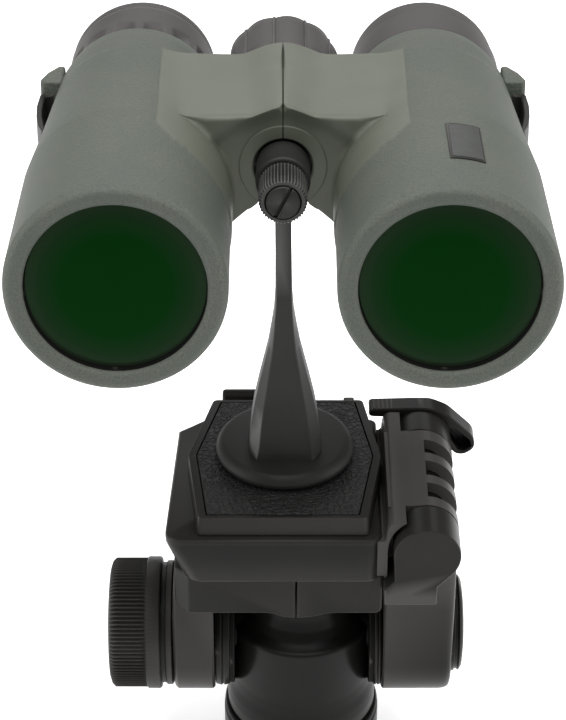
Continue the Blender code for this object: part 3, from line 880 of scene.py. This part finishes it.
def eye_lens(side):
    """The eye lens and the bezel round it."""
    lens = [(0, 127), (12.3, 128), (12.3, 131.2), (9, 132.0), (4.5, 132.4), (0, 132.5)]
    barrel_ring(side, "ocular", lens, "glass", "coated_glass", f"{side}_eye_lens", sides=72,
                corner=0.2)
    bezel = [(11.4, 132.6), (12.5, 131.4), (12.5, 136.0), (12.1, 136.2)]
    barrel_ring(side, "ocular_bezel", bezel, "cell", "black_anodised", sides=72, corner=0.1)


def badge_section(inner, outer, start, end):
    """A curved strip of the barrel's section between two angles."""
    return arc((0, 0), inner, start, end, 8) + arc((0, 0), outer, end, start, 8)


def blank_badge():
    """A blank curved plate in a thin dark frame, on top of the left barrel."""
    border = prism("badge_frame", badge_section(26.2, 26.75, 90, 71.5), 17, 38, "Y", 0.2)
    on_barrel(border, "left", "cell", "badge_plate", "badge")
    face = prism("badge_face", badge_section(26.2, 26.87, 88.8, 72.8), 17.8, 37.2, "Y", 0.1)
    on_barrel(face, "left", "badge", "badge_plate")


# Focus wheel and hinge

def wheel_ripple(count):
    """Broad lobes parted by raised steps, with fine grooves beside each step."""
    def ripple(angle, radius, station):
        if radius < 14:
            return radius
        phase = (angle * count / (2 * math.pi)) % 1.0
        lobe = 0.55 * math.sin(math.pi * phase) ** 0.8
        step = 0.35 if phase < 0.07 else 0.0
        return radius - 0.75 + lobe + step
    return ripple


def focus_wheel():
    """The lobed wheel and the cap in its end."""
    stations = [(15.7, value) for value in spread(101.8, 122.6, 4)]
    profile = ([(5.3, 100.6), (13.6, 100.6), (14.9, 100.9), (15.5, 101.4)] + stations
               + [(15.7, 122.6), (15.3, 123.4), (14.4, 124.0), (9.0, 124.0), (9.0, 121.5),
                  (5.3, 121.5)])
    wheel = turned("lobed_focus_wheel", profile, sides=WHEEL_LOBES * 48,
                   corner=0, ripple=wheel_ripple(WHEEL_LOBES), smooth_angle=40)
    on_binocular(wheel, "focus_control", "grip", "grip_rubber", "focus_wheel")
    cap = turned("focus_cap", [(0, 121.8), (8.7, 121.8), (8.7, 124.0), (7.8, 124.7),
                               (6.5, 124.3), (0, 124.1)], sides=72, corner=0.3)
    on_binocular(cap, "focus_control", "fine_plastic", "grip_rubber", "focus_wheel_cap")


def hinge_ends():
    """The collar behind the rear knuckle and the axle's threaded seat."""
    collar = turned("hinge_rear_collar", [(5.1, BRIDGE_REAR - 0.5), (8.2, BRIDGE_REAR - 0.5),
                                          (8.2, 100.3), (5.1, 100.3)], sides=72)
    on_binocular(collar, "platform_body", "cell", "steel")
    seat = turned("hinge_socket_seat", [(3.3, 57.3), (8.35, 57.3), (8.35, 60.0), (5.0, 60.0),
                                        (5.0, 121.0), (3.3, 121.0)], sides=72)
    on_binocular(seat, "platform_body", "cell", "steel", "hinge_axle")


# Tripod adapter

def blade():
    """The upright blade: flats that widen downwards, leaning to the foot's middle."""
    levels = [(2, 2.05, 2.05, 3.8), (-20, 2.05, 2.05, 3.8), (-34, 2.1, 2.2, 3.9),
              (-40, 2.3, 2.6, 4.1), (-45, 2.6, 3.3, 4.4), (-50, 3.0, 4.1, 4.7),
              (-56, 3.8, 5.4, 5.0), (-62, 4.6, 6.7, 5.4), (-68, 5.5, 7.9, 5.9),
              (-74, 6.3, 8.8, 6.5), (-79, 6.9, 9.3, 7.0), (-82.4, 7.3, 9.6, 7.4),
              (-84, 7.6, 9.8, 7.6)]
    rings = []
    for height, front, side, depth in levels:
        across, back = -FOOT_SHIFT * height / 84, -1.4 - BLADE_LEAN * height / 84
        outline = [(-front, -depth), (front, -depth), (side, -depth * 0.45),
                   (side, depth * 0.45), (front, depth), (-front, depth),
                   (-side, depth * 0.45), (-side, -depth * 0.45)]
        rings.append(([(a + across, b + back) for a, b in outline], height))
    return soften(lofted("post_blade", rings, "Z", 25), 0.35, 3, 22)


def post():
    """The blade between its round foot and its head on the hinge axis."""
    here = Matrix.Translation(Vector((ADAPTER_X, 0, ADAPTER_Z)) * MM)
    settle(blade(), here, "platform_body", "adapter", "adapter_metal", "adapter_post")
    foot = turned("post_foot", [(0, -88.1), (17.4, -88.1), (18.55, -87.0), (18.55, -85.6),
                                (17.0, -83.8), (0, -83.6)], "Z", 160, corner=1.1)
    head = turned("post_head", [(3.3, -5.4), (6.3, -5.4), (6.8, -4.9), (6.8, 5.4), (6.3, 6.0),
                                (3.3, 6.0)], corner=0.4)
    for made in (moved(foot, FOOT_SHIFT, FOOT_SETBACK), turned_by(head, math.degrees(lean), "X")):
        settle(made, here, "platform_body", "adapter", "adapter_metal")


def ribbed(count, depth, lowest, reach=(-math.inf, math.inf), power=1.0):
    """A ripple of fine grooves, above a radius and between two stations."""
    def ripple(angle, radius, station):
        if radius < lowest or not reach[0] <= station <= reach[1]:
            return radius
        return radius - depth * (0.5 - 0.5 * math.cos(count * angle)) ** power
    return ripple


def clamp_knob():
    """The knurled clamp knob with its slotted screw."""
    stations = [(6.0, value) for value in spread(34.7, 44.6, 3)]
    profile = ([(4.6, 34.0), (5.4, 34.0)] + stations
               + [(6.0, 44.6), (5.6, 45.1), (3.3, 45.1), (3.3, 37.0), (4.6, 37.0)])
    knob = turned("knurled_knob", profile, sides=CLAMP_RIDGES * 8, corner=0,
                  ripple=ribbed(CLAMP_RIDGES, 0.55, 5.7, power=1.3), smooth_angle=50)
    on_binocular(knob, "clamp_screw", "adapter", "adapter_metal", "adapter_knob")
    screw = disc("slotted_screw", 4.25, 33.5, 36.7, bevel=0.35)
    slot = block("tool", (-6, 6), (32, 34.6), (-0.5, 0.5), 0)
    cut(screw, turned_by(slot, -63, "Y"))
    on_binocular(screw, "clamp_screw", "adapter", "adapter_metal", "adapter_screw")


# Quick-release plate and platform

def plate_outline(side_inset, end_inset):
    """A long hexagon, widest near its middle."""
    right = [(22.5 - side_inset, -25.4 + end_inset), (26.8 - side_inset, 2.3),
             (22.5 - side_inset, 29.0 - end_inset)]
    left = [(-19.7 + side_inset, 29.0 - end_inset), (-25.9 + side_inset, 2.7),
            (-22.6 + side_inset, -25.4 + end_inset)]
    return [(ADAPTER_X + a, b) for a, b in right + left]


def release_plate():
    """The hexagonal plate with its rim, groove and textured pad."""
    plate = lofted("hex_plate", [(rounded(plate_outline(inset, inset), 1.2), height)
                                 for inset, height in ((0.0, 95.8), (0.4, 101.4))])
    cut(plate, prism("tool", rounded(plate_outline(2.4, 1.5), 0.5), 99.8, 103, "Z", 0))
    soften(plate, 0.45, 3, 30)
    on_head(plate, "platform_body", "qr_plate")
    pad = prism("leather_pad", rounded(plate_outline(2.7, 1.8), 0.5), 99.9, 101.55,
                "Z", 0.25)
    settle(pad, WORLD, "platform_body", "pad", "pad_rubber", "qr_pad")


def tray_outline(inset, shift):
    """The tray's plan; shift brings its left side in for the undercut below."""
    right, left, front, rear, corner = 20.8, -36.2, -27.5, 28.0, 5.0
    points = (arc((right - 4, front + 4), 4 - inset, -90, 0, 8)
              + arc((right - 2, rear - 2), 2 - inset, 0, 90, 4)
              + [(-26.5, rear - inset), (-34.1 + inset, 22.3 - inset)]
              + arc((left + corner, front + corner), corner - inset, 180, 270, 10))
    return [(a + shift * unit((-20 - a) / 12), b) for a, b in points]


def tray():
    """The tray under the plate, with its undercut."""
    levels = [(81.4, 0.8, 4.6), (81.9, 0.2, 4.5), (82.4, 0.0, 4.3), (92.6, 0.0, 0.1),
              (93.6, 0.0, 0.0), (94.7, 0.0, 0.0), (95.2, 0.25, 0.0), (95.5, 0.8, 0.0)]
    made = lofted("platform_tray", [(tray_outline(inset, shift), height)
                                    for height, inset, shift in levels], smooth_angle=40)
    on_head(made, "platform_body", "platform")


def shoulder_block():
    """The wall beside the plate, its ledge and the slotted knuckle of the flip hinge."""
    wall = [(19.6, 83.3), (22.3, 83.3), (22.3, FLIP_Z), (30, FLIP_Z), (30, 100.6), (24.3, 100.6),
            (23.4, 100.3), (22.7, 99.6), (22.2, 98.0), (21.95, 95.3), (21.3, 94.6), (19.6, 94.6)]
    shoulder = prism("platform_shoulder", wall, -26.6, 23.8, "Y", 0)
    knuckle = [(22.0, 83.4), (26, 83.2), (FLIP_X, 83.3)]
    knuckle += arc((FLIP_X, FLIP_Z), FLIP_RADIUS, -78, 90, 24) + [(29.6, 100.6), (22.5, 100.2)]
    combine(shoulder, prism("tool", knuckle, -18.8, 14.9, "Y", 0), "UNION")
    for start, end in ((-31, -18.8), (14.9, 26)):
        reach = FLIP_RADIUS + 1.4
        ear = turned("tool", [(0, start), (reach, start), (reach, end), (0, end)], corner=0)
        cut(shoulder, at_flip(ear))
    for start, end in ((4.6, 10.5), (-5.4, 0.9), (-15.0, -8.9)):
        cut(shoulder, block("tool", (33.1, 44), (start, end), (88, 104), 0))
    bore = turned("tool", [(0, -20), (5.8, -20), (5.8, 16), (0, 16)], corner=0)
    cut(shoulder, at_flip(bore))
    shoulder.data.set_sharp_from_angle(angle=math.radians(30))
    soften(shoulder, 0.25, 2, 40)
    on_head(shoulder, "platform_body")


def catch():
    """The thumb tab of the quick release, with a rolled top."""
    outline = [(30.0, 88.6), (32.6, 88.6), (34.4, 93.0), (35.4, 98.9), (34.6, 101.3),
               (32.0, 100.9), (30.6, 94.5), (29.3, 91.0)]
    tab = prism("release_tab", rounded(outline, 1.0), -22.2, -11.2, "X", 1.1, 4)
    on_head(tab, "release_catch", "qr_catch")
    stop = block("plate_stop", (11.6, 14.6), (27.0, 29.6), (95.0, 101.8), 0.5)
    on_head(stop, "platform_body")


def lever():
    """The two-armed flip lock lever, with a hollow under the lower arm."""
    outline = [(18.6, 98.6), (27.5, 98.4), (28.4, 95), (28, 88.5), (33, 84.4), (37.5, 88.5),
               (39.5, 90.4), (43.0, 85.8), (45.8, 85.6), (48.6, 88.0), (48.0, 91.8),
               (40.6, 99.2), (35.8, 101.4), (31, 101.4), (18.6, 101.0)]
    body = prism("flip_lock_lever", rounded(outline, 1.6, 5), 24.3, 30.0, "Y", 0)
    hollow = [(41.2, 91.4), (43.8, 87.2), (45.6, 87.0), (47.4, 88.6), (46.8, 90.6),
              (42.6, 94.4), (40.6, 94.6)]
    cut(body, prism("tool", rounded(hollow, 0.8, 4), 23, 28.2, "Y", 0))
    soften(body, 0.45, 3, 40)
    on_head(body, "lock_lever", "flip_lever")


def lever_ribs():
    """Grip ribs on both arms of the lever."""
    for index in range(7):
        x = 19.9 + index * 1.2
        rib = block(f"lever_rib_{index}", (x, x + 0.5), (24.7, 29.6), (100.6, 101.22), 0.12)
        on_head(rib, "lock_lever")
    tip, elbow = Vector((47.6, 91.6)), Vector((40.2, 98.6))
    way = (elbow - tip).normalized()
    for index in range(7):
        place = tip + way * (1.2 + 1.15 * index)
        rib = block(f"lever_end_rib_{index}", (-0.25, 0.25), (24.7, 29.6), (-0.5, 0.3), 0.12)
        turned_by(rib, 43, "Y")
        on_head(moved(rib, place.x - 0.1, 0, place.y - 0.1), "lock_lever")


# Yoke, knobs and core

def arm_outline(inset=0.0, half_top=19.6, top=80.7):
    """A yoke arm's section: round below the tilt axis and straight up to the beam."""
    lower = arc((0, TILT_Z), 18.5 - inset, 180, 360, 40)
    return lower + [(half_top - inset, 66), (half_top - inset, top - inset),
                    (-half_top + inset, top - inset), (-half_top + inset, 66)]


def beam_front(start, end, sag_x):
    """The beam's front outline; its underside sags over the core towards the middle."""
    top, low = 81.1, 67.9
    outer = start if abs(start) > abs(end) else end
    inner = end if outer == start else start
    way = 1 if outer > 0 else -1
    sag = [(inner, 66.05), (inner + (sag_x - inner) * 0.45, 66.6),
           (inner + (sag_x - inner) * 0.75, 67.5), (sag_x, low)]
    corner = [(outer - way * 1.6, low), (outer - way * 0.5, low + 0.5), (outer, low + 1.6)]
    return sag + corner + [(outer, top), (inner, top)]


def right_half():
    """The yoke's half on the knob side: a sloped arm and a beam with cut corners."""
    arm = lofted("yoke_right_arm", [(arm_outline(inset), station) for station, inset in
                 ((-35.4, 1.4), (-35.1, 0.6), (-34.4, 0.0), (-24.8, 0.0), (-24.2, 0.5))], "X")
    slope = [(-36, 62), (-35.4, 62), (-34.3, 82), (-36, 82)]
    cut(arm, prism("tool", slope, -30, 30, "Y", 0))
    on_head(arm, "yoke", "yoke_right")
    beam = prism("yoke_right_beam", beam_front(-34.3, -1.85, -9.7), -23.8, 23.8, "Y", 0)
    for way in (-1, 1):
        corner = [(-30.2, way * 23.8), (-35.2, way * 19.35), (-36, way * 30), (-30.2, way * 30)]
        cut(beam, prism("tool", corner, 60, 90, "Z", 0))
    soften(beam, 0.7, 4, 30)
    on_head(beam, "yoke")


def left_half():
    """The yoke's half on the cap side, with its rounded arm."""
    levels = ((22.3, 0.6), (22.8, 0.0), (38.2, 0.0), (39.6, 0.15), (40.5, 0.5), (41.0, 1.0),
              (41.3, 1.9))
    arm = lofted("yoke_left_arm", [(arm_outline(inset, 20.2, 80.6), station)
                                   for station, inset in levels], "X")
    on_head(arm, "yoke", "yoke_left")
    beam = prism("yoke_left_beam", beam_front(-1.55, 21.3, 8.5), -23.8, 23.8, "Y", 0.7, 4)
    on_head(beam, "yoke")


def flip_bracket():
    """The two ears that hold the flip hinge, and the web under them."""
    bracket = [(35.5, 76.0), (35.5, 82.0)] + arc((FLIP_X, FLIP_Z), FLIP_RADIUS, -43, 178, 36)
    bracket += [(24.2, 84.0), (21.6, 81.0), (21.6, 76.0)]
    for name, start, end in (("front_bracket", -30.0, -19.1), ("rear_bracket", 15.2, 24.0)):
        ear = prism(name, bracket, start, end, "Y", 0.45, 3)
        on_head(ear, "yoke")
    web = prism("bracket_web", [(21.7, -25.0), (35.2, -25.0), (35.2, 23.5), (21.7, 23.5)],
                76.2, 82.2, "Z", 0.4)
    on_head(web, "yoke")


def head_pins():
    pin = disc("flip_hinge_pin", 5.4, -29.3, 23.6, bevel=0.3)
    settle(at_flip(pin), WORLD, "yoke", "near_black_painted_shade", "steel", "flip_pin")
    axle = disc("tilt_hinge_axle", 4.0, -48.5, 41.2, "X", 0.3)
    settle(at_tilt(axle), WORLD, "yoke", "steel", "steel", "tilt_axle")


def tilt_knob():
    """A finely ribbed hand knob with a smooth flange and a seat against the arm."""
    ribs = [(18.1, value) for value in spread(-52.0, -43.3, 1.2)]
    profile = ([(0, -53.9), (6, -53.85), (12, -53.7), (15.6, -53.4), (17.2, -52.9)] + ribs
               + [(18.1, -43.4), (18.1, -43.1), (18.5, -42.8), (18.5, -39.6), (18.1, -39.1),
                  (16.9, -38.9), (16.9, -37.8), (17.4, -37.5), (17.4, -36.1), (17.0, -35.8),
                  (0, -35.7)])
    knob = turned("ribbed_tilt_knob", profile, "X", KNOB_RIBS * 6, corner=0,
                  ripple=ribbed(KNOB_RIBS, 0.55, 17.0, (-53.0, -43.3)), smooth_angle=45)
    settle(at_tilt(knob), WORLD, "lock_knob", "fine_plastic", "head_plastic", "tilt_knob")


def end_cap():
    profile = [(0, 41.4), (13.6, 41.4), (13.6, 42.4), (13.0, 42.8), (13.0, 43.4), (13.5, 43.8),
               (12.4, 44.6), (9, 45.05), (6, 45.12), (0, 45.12)]
    cap = turned("domed_end_cap", profile, "X", 128, corner=0.25)
    on_head(at_tilt(cap), "yoke", "tilt_cap")


def friction_discs():
    for name, start, end, node_name in (
            ("right_disc", -23.9, -20.0, "right_friction_disc"),
            ("left_disc", 20.0, 22.1, "left_friction_disc")):
        middle = (start + end) / 2
        profile = [(4.3, start), (17.2, start), (17.6, middle - 0.3), (17.0, middle),
                   (17.6, middle + 0.3), (17.2, end), (4.3, end)]
        made = turned(name, profile, "X", 128, corner=0.3)
        settle(at_tilt(made), WORLD, "pan_core", "plastic", "friction_plastic", node_name)


def core_drum():
    """The upright drum: a fuller skirt, a waist and a top that narrows to a dome."""
    profile = [(0, 18.3), (20.3, 18.3), (20.9, 19.0), (20.95, 22.5), (20.6, 25.0), (19.9, 27.4),
               (19.5, 30.5), (19.4, 38), (19.4, 48.4), (18.9, 49.1), (17.6, 49.8), (16.0, 51.0),
               (14.6, 53.0), (13.5, 56.2), (12.6, 60.9), (10.2, 62.7), (7.0, 64.1),
               (3.5, 64.9), (0, 65.1)]
    drum = turned("core_drum", profile, "Z", 160, corner=0.6)
    on_head(drum, "pan_core", "core")


def tilt_hub():
    """The hub through the drum, with a near-black disc at each end that paints the shade in the
    gaps between the drum and the friction discs.
    """
    hub = turned("tilt_hub", [(4.2, -19.8), (6.6, -19.8), (7.0, -19.3), (7.0, 19.3),
                              (6.6, 19.8), (4.2, 19.8)], "X", 128, corner=0.4)
    on_head(at_tilt(hub), "pan_core")
    # Painted shade: thin near-black discs where the gap beside each friction disc lies in shade.
    for name, start, end in (("right_shade_disc", -19.9, -18.7), ("left_shade_disc", 18.7, 19.9)):
        shade_disc = turned(name, [(4.2, start), (16.8, start), (16.8, end), (4.2, end)], "X", 96)
        settle(at_tilt(shade_disc), WORLD, "pan_core", "near_black_painted_shade", "black_anodised")


def base():
    """The ring that the head pans on."""
    profile = [(0, 0), (21.2, 0), (22.0, 0.8), (22.0, 15.4), (21.5, 16.0), (21.5, 16.6),
               (21.9, 17.0), (21.4, 17.9), (20.4, 18.0), (0, 18.0)]
    made = turned("base_ring", profile, "Z", 160, corner=0.3)
    on_head(made, "base", "pan_base")


# What stays as the CAD made it gets its finish here

def finish_inner_nodes():
    for name, made in frame["nodes"].items():
        if made.hide_render:
            continue
        surface = "cell"
        if "lens" in name or name.endswith("prism"):
            surface = "glass"
        if name in ("focus_screw", "plate_screw", "pan_bolt"):
            surface = "steel"
        for index in range(len(made.material_slots)):
            made.material_slots[index].material = SURFACES[surface]


# Studio

def studio():
    floor_mesh = bpy.data.meshes.new("studio_floor")
    shape = bmesh.new()
    bmesh.ops.create_grid(shape, x_segments=1, y_segments=1, size=6.0)
    shape.to_mesh(floor_mesh)
    shape.free()
    floor = bpy.data.objects.new("studio_floor", floor_mesh)
    bpy.context.scene.collection.objects.link(floor)
    floor.location = (0, 0, -0.0002)
    floor.data.materials.append(floor_paint())
    world = bpy.data.worlds.new("soft_studio")
    world.use_nodes = True
    world.node_tree.nodes["Background"].inputs["Color"].default_value = (1.0, 1.0, 1.0, 1.0)
    world.node_tree.nodes["Background"].inputs["Strength"].default_value = 0.33
    bpy.context.scene.world = world
    bpy.context.scene.view_settings.view_transform = "Standard"
    area_light("overhead_softbox", (0.0, -0.15, 1.25), (0, 0, 0.12), 1.3, 1.0, 25)
    area_light("rear_softbox", (0.0, 1.3, 0.9), (0, 0, 0.15), 1.2, 0.6, 5)
    area_light("left_softbox", (-1.15, -0.2, 0.35), (0, 0, 0.15), 0.5, 1.0, 8)
    area_light("right_softbox", (1.15, -0.2, 0.35), (0, 0, 0.15), 0.5, 1.0, 8)


def area_light(name, place, target, width, height, power):
    data = bpy.data.lights.new(name, "AREA")
    data.shape = "RECTANGLE"
    data.size = width
    data.size_y = height
    data.energy = power
    made = bpy.data.objects.new(name, data)
    bpy.context.scene.collection.objects.link(made)
    made.location = place
    made.rotation_euler = (Vector(target) - Vector(place)).to_track_quat("-Z", "Y").to_euler()


def camera():
    data = bpy.data.cameras.new("camera")
    data.lens = 125
    data.sensor_width = 36
    data.clip_start = 0.05
    made = bpy.data.objects.new("camera", data)
    bpy.context.scene.collection.objects.link(made)
    made.location = Vector((ADAPTER_X, -541.7, 500.9)) * MM
    made.rotation_euler = (math.radians(55.9), 0, 0)
    bpy.context.scene.camera = made


def main():
    for side in SIDES:
        skin(side)
        strap_fitting(side)
        objective(side)
        eyepiece_ring(side)
        eyecup(side)
        eye_lens(side)
    knuckles()
    blank_badge()
    focus_wheel()
    hinge_ends()
    post()
    clamp_knob()
    release_plate()
    tray()
    shoulder_block()
    catch()
    lever()
    lever_ribs()
    right_half()
    left_half()
    flip_bracket()
    head_pins()
    tilt_knob()
    end_cap()
    friction_discs()
    core_drum()
    tilt_hub()
    base()
    finish_inner_nodes()
    studio()
    camera()


main()
